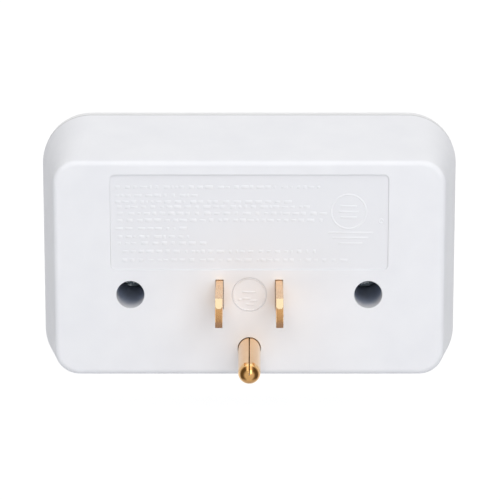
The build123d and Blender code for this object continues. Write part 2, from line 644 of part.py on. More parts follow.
def ground_lead():
    """Insulated lead from the board's back, behind the carrier, to the ground strap."""
    run = WALL + LEAD_RUN_GAP + LEAD_RADIUS
    points = [
        (GROUND_LEAD_OFFSET, BOARD_DEPTH, LEAD_RISE),
        (GROUND_LEAD_OFFSET, run, LEAD_RISE),
        (GROUND_LEAD_OFFSET, run, -GROUND_DROP),
        (GROUND_LEAD_OFFSET, GROUND_STRAP_BACK, -GROUND_DROP),
    ]
    return folded_lead(points, LEAD_RADIUS)


def all_parts():
    """Every piece of the surge protector by name."""
    left, right = SCREWS
    return {
        "rear_housing": rear_housing(),
        "front_cover": front_cover(),
        "contact_carrier": contact_carrier(),
        "line_blade": blade(LINE_SIDE, LINE_STRAP_RISE, LINE_STRAP_WIDTH),
        "neutral_blade": blade(NEUTRAL_SIDE, NEUTRAL_STRAP_RISE, NEUTRAL_STRAP_WIDTH),
        "ground_pin": ground_pin(),
        "line_bus_bar": power_bus_bar(LINE_SIDE, LINE_STRAP_RISE, LINE_STRAP_WIDTH),
        "neutral_bus_bar": power_bus_bar(NEUTRAL_SIDE, NEUTRAL_STRAP_RISE, NEUTRAL_STRAP_WIDTH),
        "ground_bus_bar": ground_bus_bar(),
        "circuit_board": circuit_board(),
        "varistor_line_neutral": varistor(VARISTOR_OFFSETS[0]),
        "varistor_line_ground": varistor(VARISTOR_OFFSETS[1]),
        "varistor_neutral_ground": varistor(VARISTOR_OFFSETS[2]),
        "thermal_fuse": axial_part(FUSE_OFFSET, FUSE_RADIUS, FUSE_LENGTH),
        "filter_capacitor": filter_capacitor(),
        "led_resistor": axial_part(RESISTOR_OFFSET, RESISTOR_RADIUS, RESISTOR_LENGTH),
        "led_diode": axial_part(DIODE_OFFSET, DIODE_RADIUS, DIODE_LENGTH),
        "indicator_led": indicator_led(),
        "indicator_lens": indicator_lens(),
        "line_lead": front_lead(LINE_LEAD_OFFSET, LINE_STRAP_RISE),
        "neutral_lead": front_lead(NEUTRAL_LEAD_OFFSET, NEUTRAL_STRAP_RISE),
        "ground_lead": ground_lead(),
        "left_housing_screw": housing_screw(left),
        "right_housing_screw": housing_screw(right),
        "left_board_screw": board_screw(-BOARD_SCREW_OFFSET),
        "right_board_screw": board_screw(BOARD_SCREW_OFFSET),
    }


os.makedirs("parts", exist_ok=True)
for name, solid in all_parts().items():
    export_step(solid, f"parts/{name}.step")
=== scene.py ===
"""Studio scene of a plug-in surge protector, seen from its rear and a little above."""

import json
import logging
import math
import random
from dataclasses import dataclass, field
from enum import Enum

import bmesh
import bpy
from mathutils import Matrix, Vector


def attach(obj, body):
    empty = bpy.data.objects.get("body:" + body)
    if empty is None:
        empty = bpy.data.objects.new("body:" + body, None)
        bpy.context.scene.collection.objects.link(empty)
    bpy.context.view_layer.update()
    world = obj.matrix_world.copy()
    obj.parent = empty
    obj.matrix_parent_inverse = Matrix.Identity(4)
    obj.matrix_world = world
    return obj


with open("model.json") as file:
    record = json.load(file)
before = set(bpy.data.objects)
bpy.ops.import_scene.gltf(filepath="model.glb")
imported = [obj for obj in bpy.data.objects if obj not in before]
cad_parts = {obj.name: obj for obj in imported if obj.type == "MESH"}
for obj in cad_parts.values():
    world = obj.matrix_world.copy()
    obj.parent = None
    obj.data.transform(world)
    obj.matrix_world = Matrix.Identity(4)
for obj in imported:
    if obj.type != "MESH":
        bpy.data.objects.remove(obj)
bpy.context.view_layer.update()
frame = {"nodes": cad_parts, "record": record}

Colour = tuple[float, float, float]
Place = tuple[float, float, float]
Pair = tuple[float, float]
Socket = bpy.types.NodeSocket
Paint = Colour | Socket

# The two ends of a range, or the values at which a share is 0 and at which it is 1
Span = tuple[float, float]

LOG = logging.getLogger("surge_protector")
BODY = "root"

# Metres in a millimetre, and the distance in metres at which points count as one
MM = 0.001
TOUCHING = 1e-7

# X points right, Z points up, and Y is the depth, inwards from the rear face. The factors drop
# the depth of a vector. The caps, in metres, drop it only from a small vector that points inwards
ACROSS = (1.0, 0.0, 1.0)
NO_DEEPER = (1.0, 0.0, 1.0)

# Middle part of a noise, which is spread over a whole range
NOISE_SPAN = (0.3, 0.7)
BEVEL_SAMPLES = 6


class Axis(Enum):
    """Direction that a grain follows: the factors on X, Y and Z that stretch its pattern."""

    NONE = (1.0, 1.0, 1.0)
    ALONG_DEPTH = (1.0, 0.06, 1.0)
    ALONG_WIDTH = (0.08, 1.0, 1.0)


class Graph:
    """Adds nodes and links to one node tree."""

    def __init__(self, tree: bpy.types.NodeTree) -> None:
        """Empties the tree."""
        self.tree = tree
        self.tree.nodes.clear()

    def node(self, kind: str, **settings: object) -> bpy.types.Node:
        """Adds a node.

        Args:
            kind: Blender's name of the node type.
            **settings: Attributes to set on it.

        Returns:
            The new node.
        """
        made = self.tree.nodes.new(kind)
        for key, value in settings.items():
            setattr(made, key, value)
        return made

    def link(self, source: Socket, target: Socket) -> None:
        """Joins an output to an input."""
        self.tree.links.new(source, target)

    def combine(self, operation: str, *values: Socket) -> Socket:
        """Joins two or more values by a sum.

        Args:
            operation: Blender's name of the sum, such as MULTIPLY.
            *values: Sockets with the values, in order.

        Returns:
            The socket with the result.
        """
        result = values[0]
        for value in values[1:]:
            made = self.node("ShaderNodeMath", operation=operation)
            self.link(result, made.inputs[0])
            self.link(value, made.inputs[1])
            result = made.outputs[0]
        return result

    def seen(self) -> Socket:
        """Finds the rays that show a background: from the camera, off gloss or through glass.

        Returns:
            The socket that is 1 for those rays and 0 for others.
        """
        rays = self.node("ShaderNodeLightPath").outputs
        kinds = ("Is Camera Ray", "Is Glossy Ray", "Is Transmission Ray")
        return self.combine("MAXIMUM", *(rays[kind] for kind in kinds))


class Wiring(Graph):
    """Builds one procedural material, node by node."""

    def __init__(self, name: str) -> None:
        """Starts a material with only its output and its surface shader."""
        self.material = bpy.data.materials.new(name)
        self.material.use_nodes = True
        super().__init__(self.material.node_tree)
        self.output = self.node("ShaderNodeOutputMaterial")
        self.shader = self.node("ShaderNodeBsdfPrincipled")
        self.link(self.shader.outputs["BSDF"], self.output.inputs["Surface"])

    def vector(self, operation: str, source: Socket, other: Place | None = None) -> Socket:
        """Turns a vector into another by a sum.

        Args:
            operation: Blender's name of the sum, such as SUBTRACT.
            source: Socket with the vector.
            other: The second vector, for a sum that takes one.

        Returns:
            The socket with the result.
        """
        made = self.node("ShaderNodeVectorMath", operation=operation)
        if other is not None:
            made.inputs[1].default_value = other
        self.link(source, made.inputs[0])
        return made.outputs["Vector"]

    def length(self, source: Socket) -> Socket:
        """Measures a vector.

        Args:
            source: Socket with the vector.

        Returns:
            The socket with its length.
        """
        made = self.node("ShaderNodeVectorMath", operation="LENGTH")
        self.link(source, made.inputs[0])
        return made.outputs["Value"]

    def split(self, source: Socket) -> tuple[Socket, Socket, Socket]:
        """Takes a vector apart.

        Args:
            source: Socket with the vector.

        Returns:
            The sockets with its X, Y and Z.
        """
        apart = self.node("ShaderNodeSeparateXYZ")
        self.link(source, apart.inputs[0])
        return apart.outputs["X"], apart.outputs["Y"], apart.outputs["Z"]

    def off_axis(self, source: Socket) -> Socket:
        """Measures how far a vector reaches across the depth.

        Args:
            source: Socket with the vector.

        Returns:
            The socket with the distance from the Y axis.
        """
        return self.length(self.vector("MULTIPLY", source, ACROSS))

    def place(self, stretch: Axis = Axis.NONE) -> Socket:
        """Object coordinates of the piece, stretched along a grain.

        Args:
            stretch: Direction of the grain.

        Returns:
            The socket with the coordinates in metres.
        """
        coordinates = self.node("ShaderNodeTexCoord").outputs["Object"]
        if stretch is Axis.NONE:
            return coordinates
        mapping = self.node("ShaderNodeMapping", vector_type="POINT")
        mapping.inputs["Scale"].default_value = stretch.value
        self.link(coordinates, mapping.inputs["Vector"])
        return mapping.outputs["Vector"]

    def from_point(self, centre_mm: Place) -> Socket:
        """Gives the way from a point of the piece to the place that is shaded.

        Args:
            centre_mm: The point in millimetres.

        Returns:
            The socket with the vector in metres.
        """
        centre = tuple(value * MM for value in centre_mm)
        return self.vector("SUBTRACT", self.place(), centre)

    def noise(self, size_mm: float, detail: float = 2.0, stretch: Axis = Axis.NONE) -> Socket:
        """Noise with features of a real size.

        Args:
            size_mm: Width of one feature.
            detail: Number of finer layers.
            stretch: Direction of the grain.

        Returns:
            The noise value's socket, from 0 to 1.
        """
        texture = self.node("ShaderNodeTexNoise")
        texture.inputs["Scale"].default_value = 1 / (size_mm * MM)
        texture.inputs["Detail"].default_value = detail
        self.link(self.place(stretch), texture.inputs["Vector"])
        return texture.outputs["Fac"]

    def spread(self, value: Socket, low: float, high: float) -> Socket:
        """Maps the middle of a noise to a range.

        Args:
            value: Socket with the noise.
            low: Result at the start of NOISE_SPAN and below.
            high: Result at the end of NOISE_SPAN and above.

        Returns:
            The socket with the mapped value.
        """
        mapped = self.node("ShaderNodeMapRange")
        mapped.inputs["From Min"].default_value = NOISE_SPAN[0]
        mapped.inputs["From Max"].default_value = NOISE_SPAN[1]
        mapped.inputs["To Min"].default_value = low
        mapped.inputs["To Max"].default_value = high
        self.link(value, mapped.inputs["Value"])
        return mapped.outputs["Result"]

    def step(self, value: Socket, none: float, full: float) -> Socket:
        """Turns a value into a share by a smooth step.

        Args:
            value: Socket with the value.
            none: Value where the share is 0.
            full: Value where the share is 1.

        Returns:
            The socket with the share.
        """
        falls = none > full
        mapped = self.node("ShaderNodeMapRange", interpolation_type="SMOOTHSTEP")
        mapped.inputs["From Min"].default_value = min(none, full)
        mapped.inputs["From Max"].default_value = max(none, full)
        mapped.inputs["To Min"].default_value = 1.0 if falls else 0.0
        mapped.inputs["To Max"].default_value = 0.0 if falls else 1.0
        self.link(value, mapped.inputs["Value"])
        return mapped.outputs["Result"]

    def fade(self, distance: Socket, none_mm: float, full_mm: float) -> Socket:
        """Turns a distance into a share by a smooth step.

        Args:
            distance: Socket with the distance in metres.
            none_mm: Distance in millimetres where the share is 0.
            full_mm: Distance in millimetres where the share is 1.

        Returns:
            The socket with the share.
        """
        return self.step(distance, none_mm * MM, full_mm * MM)

    def blend(self, share: Socket, first: Paint, second: Paint) -> Socket:
        """Mixes two colours.

        Args:
            share: Socket with the share of the second colour.
            first: Linear colour at 0, or the socket that gives it.
            second: Linear colour at 1, or the socket that gives it.

        Returns:
            The socket with the mixed colour.
        """
        mix = self.node("ShaderNodeMix", data_type="RGBA")
        for paint, target in ((first, mix.inputs[6]), (second, mix.inputs[7])):
            if isinstance(paint, tuple):
                target.default_value = (*paint, 1.0)
            else:
                self.link(paint, target)
        self.link(share, mix.inputs[0])
        return mix.outputs[2]

    def relief(self, height: Socket, depth_mm: float, edge_mm: float) -> None:
        """Bumps the surface and softens its edges.

        Args:
            height: Socket with the height, from 0 to 1.
            depth_mm: Depth of the bumps.
            edge_mm: Radius that the edges seem to have.
        """
        soft = self.node("ShaderNodeBevel", samples=BEVEL_SAMPLES)
        soft.inputs["Radius"].default_value = edge_mm * MM
        bump = self.node("ShaderNodeBump")
        bump.inputs["Strength"].default_value = 1.0
        bump.inputs["Distance"].default_value = depth_mm * MM
        self.link(height, bump.inputs["Height"])
        self.link(soft.outputs["Normal"], bump.inputs["Normal"])
        self.link(bump.outputs["Normal"], self.shader.inputs["Normal"])


@dataclass(frozen=True)
class Moulded:
    """Moulded plastic with a spark-eroded texture, slight cloudiness and soft edges."""

    name: str
    colour: Colour
    shade: Colour
    roughness: Span = (0.42, 0.52)
    cloud_mm: float = 9.0
    patch_mm: float = 1.6
    texture_mm: float = 0.12
    texture_depth_mm: float = 0.004
    detail: float = 3.0
    edge_mm: float = 0.18
    specular: float = 0.4
    coat: float = 0.0

    def make(self) -> bpy.types.Material:
        """Builds the material.

        Returns:
            The finished material.
        """
        w = Wiring(self.name)
        clouds = w.spread(w.noise(self.cloud_mm, self.detail), 0.0, 1.0)
        plastic = w.blend(clouds, self.colour, self.shade)
        w.link(self.paint_shade_and_joint(w, plastic), w.shader.inputs["Base Color"])
        w.link(w.spread(w.noise(self.patch_mm), *self.roughness), w.shader.inputs["Roughness"])
        w.shader.inputs["Specular IOR Level"].default_value = self.specular
        w.shader.inputs["Coat Weight"].default_value = self.coat
        w.relief(w.noise(self.texture_mm, self.detail), self.texture_depth_mm, self.edge_mm)
        return w.material

    def paint_shade_and_joint(self, w: Wiring, plastic: Socket) -> Socket:
        """Leaves the plastic's own colour, with no painted shade.

        Args:
            w: The material being built.
            plastic: Socket with the plastic's own colour.

        Returns:
            The socket with the finished colour.
        """
        return plastic


@dataclass(frozen=True)
class Recess:
    """Sunk field of the rear face behind the label marks, in millimetres."""

    middle: float = 15.76
    half_width: float = 29.55
    half_height: float = 10.35
    depth: float = 0.35


LABEL_RECESS = Recess()


@dataclass(frozen=True)
class WelledShell(Moulded):
    """Rear shell: painted shade in the screw wells and label recess, dark line at the front cover."""

    # Painted shade in the screw wells, darker further in
    painted_well_shade: Colour = (0.46, 0.51, 0.62)
    well_x_mm: float = 25.4
    well_span: Span = (3.25, 3.15)
    well_shade_span: Span = (1.0, 7.0)
    joint: Colour = (0.42, 0.42, 0.43)
    joint_span: Span = (21.3, 21.4)
    # Painted shade on the floor of the label recess
    recess: Colour = (0.788, 0.793, 0.821)
    recess_edge_mm: float = 0.1
    recess_skin_span: Span = (1.05, 0.7)

    def in_recess(self, w: Wiring) -> Socket:
        """Finds the floor of the label recess, but not the inside of the wall behind it.

        Args:
            w: The material being built.

        Returns:
            The socket that is 1 on that floor and 0 elsewhere.
        """
        way = w.from_point((0.0, 0.0, LABEL_RECESS.middle))
        across, depth, upwards = w.split(w.vector("ABSOLUTE", way))
        return w.combine(
            "MULTIPLY",
            w.fade(across, LABEL_RECESS.half_width + self.recess_edge_mm, LABEL_RECESS.half_width),
            w.fade(upwards, LABEL_RECESS.half_height + self.recess_edge_mm, LABEL_RECESS.half_height),
            w.fade(depth, LABEL_RECESS.depth - self.recess_edge_mm, LABEL_RECESS.depth),
            w.fade(depth, *self.recess_skin_span),
        )

    def paint_shade_and_joint(self, w: Wiring, plastic: Socket) -> Socket:
        """Paints shade on the recess floor and in the wells, more so further in, and darkens the rim.

        Args:
            w: The material being built.
            plastic: Socket with the plastic's own colour.

        Returns:
            The socket with the finished colour.
        """
        folded = w.vector("ABSOLUTE", w.place())
        from_well = w.vector("SUBTRACT", folded, (self.well_x_mm * MM, 0.0, 0.0))
        _, depth, _ = w.split(w.place())
        in_well = w.fade(w.off_axis(from_well), *self.well_span)
        # Painted shade in the wells, darker further in, and on the label recess floor
        well_shade_share = w.combine("MULTIPLY", in_well, w.fade(depth, *self.well_shade_span))
        with_painted_shade = w.blend(self.in_recess(w), plastic, self.recess)
        with_well_shade = w.blend(well_shade_share, with_painted_shade, self.painted_well_shade)
        return w.blend(w.fade(depth, *self.joint_span), with_well_shade, self.joint)


@dataclass(frozen=True)
class Metal:
    """Rolled or plated metal with a drawn grain, rougher patches and rounded edges."""

    name: str
    colour: Colour
    shade: Colour
    roughness: Span = (0.16, 0.3)
    cloud_mm: float = 2.2
    cloud_detail: float = 3.0
    patch_mm: float = 0.5
    grain: Axis = Axis.ALONG_DEPTH
    grain_mm: float = 0.12
    grain_depth_mm: float = 0.002
    grain_detail: float = 2.0
    edge_mm: float = 0.12

    def make(self) -> bpy.types.Material:
        """Builds the material.

        Returns:
            The finished material.
        """
        w = Wiring(self.name)
        w.shader.inputs["Metallic"].default_value = 1.0
        clouds = w.spread(w.noise(self.cloud_mm, self.cloud_detail), 0.0, 1.0)
        metal = w.blend(clouds, self.colour, self.shade)
        w.link(self.wear_and_painted_shade(w, metal), w.shader.inputs["Base Color"])
        patches = w.noise(self.patch_mm, self.grain_detail, self.grain)
        w.link(w.spread(patches, *self.roughness), w.shader.inputs["Roughness"])
        scratches = w.noise(self.grain_mm, self.grain_detail, self.grain)
        w.relief(scratches, self.grain_depth_mm, self.edge_mm)
        return w.material

    def wear_and_painted_shade(self, w: Wiring, metal: Socket) -> Socket:
        """Leaves the metal's own colour, with no wear and no painted shade.

        Args:
            w: The material being built.
            metal: Socket with the clean metal's colour.

        Returns:
            The socket with the finished colour.
        """
        return metal


@dataclass(frozen=True)
class BladeMetal(Metal):
    """Brass strip: painted dark reflection on the end, darker below, and painted shade on the top bevel."""

    # Painted dark reflection on the end left by shearing and on the lower bevel, darker towards the bottom
    end_dark_reflection: Colour = (0.58, 0.32, 0.13)
    low_end_dark_reflection: Colour = (0.30, 0.16, 0.08)
    # Painted shade that dims the highlight on the upper bevel
    upper_bevel_shade: Colour = (0.52, 0.40, 0.25)
    tip_mm: float = -17.5
    bevel_mm: float = 1.7
    half_height_mm: float = 3.175
    end_skin: Span = (0.25, 0.125)
    bevel_skin: Span = (0.25, 0.1)

    def wear_and_painted_shade(self, w: Wiring, metal: Socket) -> Socket:
        """Paints dark reflection on the end and lower bevel, darker below, and shade on the upper bevel.

        Args:
            w: The material being built.
            metal: Socket with the metal's own colour.

        Returns:
            The socket with the finished colour.
        """
        _, depth, height = w.split(w.place())
        bevel_foot = self.half_height_mm - self.bevel_mm
        end_span = [self.tip_mm + skin for skin in self.end_skin]
        bevel_span = [self.tip_mm - bevel_foot + skin for skin in self.bevel_skin]
        at_end = w.fade(depth, *end_span)
        below = w.fade(w.combine("ADD", depth, height), *bevel_span)
        above = w.fade(w.combine("SUBTRACT", depth, height), *bevel_span)
        painted_end = w.blend(w.fade(height, bevel_foot, -self.half_height_mm), self.end_dark_reflection, self.low_end_dark_reflection)
        with_painted_shade = w.blend(w.combine("MAXIMUM", at_end, below), metal, painted_end)
        return w.blend(above, with_painted_shade, self.upper_bevel_shade)


@dataclass(frozen=True)
class RolledPinMetal(Metal):
    """Brass rolled into a pin, with painted shade in its seam and painted dark reflections on its nose.

    The spans are measured in millimetres from the centre of the round nose.
    """

    # Painted shade on the inside of the pin, seen through its seam
    inside: Colour = (0.30, 0.17, 0.07)
    # Painted dark reflections: the nose, more so towards the bottom, and crescents beside its ridge
    nose: Colour = (0.60, 0.34, 0.13)
    low_nose: Colour = (0.34, 0.19, 0.07)
    dark: Colour = (0.11, 0.05, 0.012)
    tip_mm: float = -21.4
    axis_z_mm: float = -11.89
    radius_mm: float = 2.35
    skin_mm: float = 0.2
    nose_span: Span = (-0.8, -1.6)
    low_nose_span: Span = (-0.8, -2.2)
    crescent_inner_span: Span = (0.75, 1.35)
    crescent_outer_span: Span = (2.1, 1.7)
    crescent_low_span: Span = (-1.5, -0.6)
    ridge_span: Span = (0.25, 0.8)

    def wear_and_painted_shade(self, w: Wiring, metal: Socket) -> Socket:
        """Paints shade in the seam, and dark reflections on the nose and in crescents beside its ridge.

        Args:
            w: The material being built.
            metal: Socket with the metal's own colour.

        Returns:
            The socket with the finished colour.
        """
        way = w.from_point((0.0, self.tip_mm + self.radius_mm, self.axis_z_mm))
        side, depth, height = w.split(way)
        off_seam = w.node("ShaderNodeMath", operation="ABSOLUTE")
        w.link(side, off_seam.inputs[0])
        off_axis = w.off_axis(way)
        on_nose = w.fade(depth, *self.nose_span)
        crescents = w.combine(
            "MULTIPLY",
            w.fade(off_axis, *self.crescent_inner_span),
            w.fade(off_axis, *self.crescent_outer_span),
            w.fade(off_seam.outputs[0], *self.ridge_span),
            w.fade(height, *self.crescent_low_span),
            on_nose,
        )
        dome = w.blend(w.fade(height, *self.low_nose_span), self.nose, self.low_nose)
        outside = w.blend(crescents, w.blend(on_nose, metal, dome), self.dark)
        from_core = w.length(w.vector("MINIMUM", way, NO_DEEPER))
        inner = w.fade(from_core, self.radius_mm - self.skin_mm / 2, self.radius_mm - self.skin_mm)
        return w.blend(inner, outside, self.inside)


@dataclass(frozen=True)
class BlackenedSteel(Metal):
    """Blackened screw steel, worn bright in small specks."""

    bright: Colour = (0.42, 0.45, 0.48)
    speck_mm: float = 0.55
    speck_detail: float = 1.0
    worn_span: Span = (0.56, 0.66)

    def wear_and_painted_shade(self, w: Wiring, metal: Socket) -> Socket:
        """Wears the black away in specks.

        Args:
            w: The material being built.
            metal: Socket with the blackened colour.

        Returns:
            The socket with the finished colour.
        """
        worn = w.step(w.noise(self.speck_mm, self.speck_detail), *self.worn_span)
        return w.blend(worn, metal, self.bright)


@dataclass(frozen=True)
class ClearPlastic:
    """Clear moulded light guide with a faint haze."""

    name: str
    colour: Colour
    shade: Colour
    roughness: Span = (0.04, 0.12)
    cloud_mm: float = 1.5
    haze_mm: float = 0.4
    clearness: float = 0.9
    refraction: float = 1.49

    def make(self) -> bpy.types.Material:
        """Builds the material.

        Returns:
            The finished material.
        """
        w = Wiring(self.name)
        w.shader.inputs["Transmission Weight"].default_value = self.clearness
        w.shader.inputs["IOR"].default_value = self.refraction
        w.link(w.blend(w.noise(self.cloud_mm), self.colour, self.shade), w.shader.inputs["Base Color"])
        w.link(w.spread(w.noise(self.haze_mm), *self.roughness), w.shader.inputs["Roughness"])
        return w.material


WHITE = (0.83, 0.835, 0.86)
CLOUDY_WHITE = (0.80, 0.805, 0.835)
WHITE_MARKS = Moulded("white_marks", WHITE, CLOUDY_WHITE, roughness=(0.34, 0.44), edge_mm=0.05)

# Finish of each material slot of the record
FINISHES: dict[str, Moulded | Metal | ClearPlastic] = {
    "rear_shell": WelledShell("white_shell", WHITE, CLOUDY_WHITE),
    "front_shell": Moulded(
        "white_front", (0.815, 0.815, 0.825), (0.79, 0.79, 0.80), roughness=(0.34, 0.44), edge_mm=0.55
    ),
    "blade_brass": BladeMetal("blade_brass", (0.88, 0.58, 0.31), (0.83, 0.52, 0.26), roughness=(0.22, 0.3)),
    "pin_brass": RolledPinMetal("pin_brass", (0.92, 0.62, 0.32), (0.87, 0.56, 0.27), roughness=(0.12, 0.2)),
    "bus_brass": Metal("bus_brass", (0.78, 0.60, 0.33), (0.70, 0.50, 0.24), grain=Axis.ALONG_WIDTH),
    "screw_steel": BlackenedSteel(
        "screw_steel", (0.13, 0.16, 0.18), (0.07, 0.09, 0.11), roughness=(0.25, 0.45), grain=Axis.NONE
    ),
    "carrier_plastic": Moulded("carrier_plastic", (0.06, 0.065, 0.075), (0.045, 0.05, 0.06)),
    "board_laminate": Moulded(
        "board_laminate", (0.02, 0.16, 0.06), (0.015, 0.12, 0.045), texture_mm=0.4, coat=0.6
    ),
    "varistor_coating": Moulded(
        "varistor_coating", (0.03, 0.09, 0.34), (0.02, 0.06, 0.26), texture_mm=0.5, coat=0.4
    ),
    "fuse_sleeve": Moulded("fuse_sleeve", (0.7, 0.68, 0.6), (0.6, 0.58, 0.5), texture_mm=0.3),
    "capacitor_case": Moulded("capacitor_case", (0.72, 0.48, 0.06), (0.62, 0.40, 0.05), coat=0.3),
    "resistor_body": Moulded("resistor_body", (0.5, 0.36, 0.22), (0.42, 0.3, 0.18), coat=0.5),
    "diode_body": Moulded("diode_body", (0.02, 0.02, 0.022), (0.03, 0.03, 0.032)),
    "lamp_lens": Moulded(
        "lamp_lens", (0.08, 0.45, 0.14), (0.06, 0.38, 0.11), roughness=(0.08, 0.14), coat=0.5
    ),
    "light_guide": ClearPlastic("light_guide", (0.85, 0.9, 0.88), (0.95, 0.97, 0.96)),
    "line_insulation": Moulded("line_insulation", (0.02, 0.02, 0.02), (0.03, 0.03, 0.03), texture_mm=0.3),
    "neutral_insulation": Moulded(
        "neutral_insulation", (0.75, 0.75, 0.74), (0.68, 0.68, 0.67), texture_mm=0.3
    ),
    "ground_insulation": Moulded(
        "ground_insulation", (0.03, 0.22, 0.07), (0.02, 0.17, 0.05), texture_mm=0.3
    ),
}


def show(name: str, data: bpy.types.ID) -> bpy.types.Object:
    """Makes an object and links it to the scene.

    Args:
        name: Name of the object.
        data: Its mesh, lamp or camera.

    Returns:
        The new object.
    """
    made = bpy.data.objects.new(name, data)
    bpy.context.scene.collection.objects.link(made)
    return made


@dataclass
class Marking:
    """Mesh of marks that stand up from a sunk floor of the rear face, in millimetres.

    The feet go into the floor by the seat. The edges of a bar are rounded by a share of its
    thickness or height, whichever is smaller, and a ring has a round crown.
    """

    floor: float
    rise: float
    seat: float = 0.03
    edge_share: float = 0.45
    crown_steps: int = 6
    ring_steps: int = 48
    sharp_angle: float = 40.0
    mesh: bmesh.types.BMesh = field(default_factory=bmesh.new)

    @property
    def base(self) -> float:
        """Depth of the marks' feet."""
        return self.floor + self.seat

    @property
    def top(self) -> float:
        """Depth of the marks' faces, nearer to the viewer."""
        return self.floor - self.rise

    def bar(self, x: float, z: float, width: float, height: float) -> None:
        """Adds a raised bar with softened edges.

        Args:
            x: Centre across.
            z: Centre upwards.
            width: Size across.
            height: Size upwards.
        """
        thickness = self.base - self.top
        size = Matrix.Diagonal((width * MM, thickness * MM, height * MM, 1.0))
        centre = Matrix.Translation(Vector((x, (self.base + self.top) / 2, z)) * MM)
        made = bmesh.ops.create_cube(self.mesh, size=1.0, matrix=centre @ size)
        around = dict.fromkeys(edge for vert in made["verts"] for edge in vert.link_edges)
        face = self.top * MM + TOUCHING
        edges = [edge for edge in around if all(vert.co.y < face for vert in edge.verts)]
        soft = self.edge_share * min(thickness, height) * MM
        bmesh.ops.bevel(
            self.mesh, geom=edges, offset=soft, affect="EDGES", segments=2, profile=0.5, material=-1
        )

    def ring(self, x: float, z: float, radius: float, width: float) -> None:
        """Adds a raised ring with a rounded crown.

        Args:
            x: Centre across.
            z: Centre upwards.
            radius: Middle radius of the ring.
            width: Width of the ring's band.
        """
        profile = []
        for step in range(self.crown_steps + 1):
            turn = math.pi * step / self.crown_steps
            across = x + radius - width / 2 * math.cos(turn)
            depth = self.base - (self.base - self.top) * math.sin(turn)
            profile.append(self.mesh.verts.new(Vector((across, depth, z)) * MM))
        edges = [self.mesh.edges.new(pair) for pair in zip(profile, profile[1:])]
        edges.append(self.mesh.edges.new((profile[-1], profile[0])))
        bmesh.ops.spin(
            self.mesh,
            geom=profile + edges,
            cent=Vector((x, self.base, z)) * MM,
            axis=(0, 1, 0),
            angle=math.tau,
            steps=self.ring_steps,
            use_merge=True,
            use_duplicate=False,
        )

    def finish(self, name: str, slot: str, material: bpy.types.Material) -> None:
        """Turns the marks into a dressed piece that rides on the surge protector.

        Args:
            name: Name of the piece.
            slot: Material slot of the record; not used.
            material: Material of the piece.
        """
        bmesh.ops.remove_doubles(self.mesh, verts=self.mesh.verts, dist=TOUCHING)
        bmesh.ops.recalc_face_normals(self.mesh, faces=self.mesh.faces)
        data = bpy.data.meshes.new(name)
        self.mesh.to_mesh(data)
        self.mesh.free()
        for face in data.polygons:
            face.use_smooth = True
        data.set_sharp_from_angle(angle=math.radians(self.sharp_angle))
        data.materials.append(material)
        piece = show(name, data)
        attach(piece, BODY)
        LOG.info("%s: %d faces", name, len(data.polygons))


@dataclass
class LabelMarks:
    """Plain raised dashes, rings and bars in the label recess, in millimetres.

    A row is its height, its start and its end. An upper bar is its height over the middle of the
    ring and its width, and a lower bar is its drop below it and its width.
    """

    rise: float = 0.06
    rows: tuple[tuple[float, float, float], ...] = (
        (23.4, -28.4, 26.5),
        (21.6, -28.4, -12.0),
        (20.2, -28.4, 8.0),
        (19.1, -28.0, 12.5),
        (17.7, -28.0, 15.0),
        (16.2, -28.0, 15.5),
        (14.4, -28.4, -14.0),
        (12.6, -28.0, -13.0),
        (11.2, -28.0, -10.0),
        (9.4, -27.0, 14.0),
        (7.5, -27.0, 21.0),
    )
    seed: int = 11
    dash_widths: Span = (0.4, 1.6)
    dash_height: float = 0.75
    height_shares: Span = (0.55, 1.0)
    gap: float = 0.4
    gap_shares: Span = (0.7, 3.0)
    side_margin: float = 0.8
    end_margin: float = 2.0
    ring_x: float = 21.1
    ring_z: float = 18.05
    ring_radius: float = 3.7
    ring_band: float = 0.45
    upper_bars: tuple[Pair, ...] = ((1.2, 3.4), (0.0, 4.2), (-1.2, 3.4))
    upper_bar_height: float = 0.4
    lower_bars: tuple[Pair, ...] = ((4.55, 9.55), (5.65, 7.6), (6.85, 5.1))
    lower_bar_height: float = 0.35
    lower_bar_shift: float = 0.4
    dot_shift: Pair = (6.9, -2.05)
    dot_radius: float = 0.45
    dot_band: float = 0.3

    def dashes(self, material: bpy.types.Material) -> None:
        """Makes the rows of dashes, with room for the ring.

        Args:
            material: Material of the marks.
        """
        draw = random.Random(self.seed)
        marks = Marking(LABEL_RECESS.depth, self.rise)
        for z, start, end in self.rows:
            x = start
            while x < end:
                width = draw.uniform(*self.dash_widths)
                middle = x + width / 2
                beside = abs(middle - self.ring_x) > self.ring_radius + width / 2 + self.side_margin
                if beside or abs(z - self.ring_z) > self.ring_radius + self.end_margin:
                    marks.bar(middle, z, width, self.dash_height * draw.uniform(*self.height_shares))
                x += width + self.gap * draw.uniform(*self.gap_shares)
        marks.finish("label_dashes", "rear_shell", material)

    def ring(self, material: bpy.types.Material) -> None:
        """Makes the ring, the bars in it and under it, and the small ring beside it.

        Args:
            material: Material of the marks.
        """
        marks = Marking(LABEL_RECESS.depth, self.rise)
        marks.ring(self.ring_x, self.ring_z, self.ring_radius, self.ring_band)
        for lift, width in self.upper_bars:
            marks.bar(self.ring_x, self.ring_z + lift, width, self.upper_bar_height)
        for drop, width in self.lower_bars:
            marks.bar(self.ring_x + self.lower_bar_shift, self.ring_z - drop, width, self.lower_bar_height)
        dot_x, dot_z = self.dot_shift
        marks.ring(self.ring_x + dot_x, self.ring_z + dot_z, self.dot_radius, self.dot_band)
        marks.finish("label_ring", "rear_shell", material)

    def build(self, material: bpy.types.Material) -> None:
        """Makes all the marks of the label recess.

        Args:
            material: Material of the marks.
        """
        self.dashes(material)
        self.ring(material)


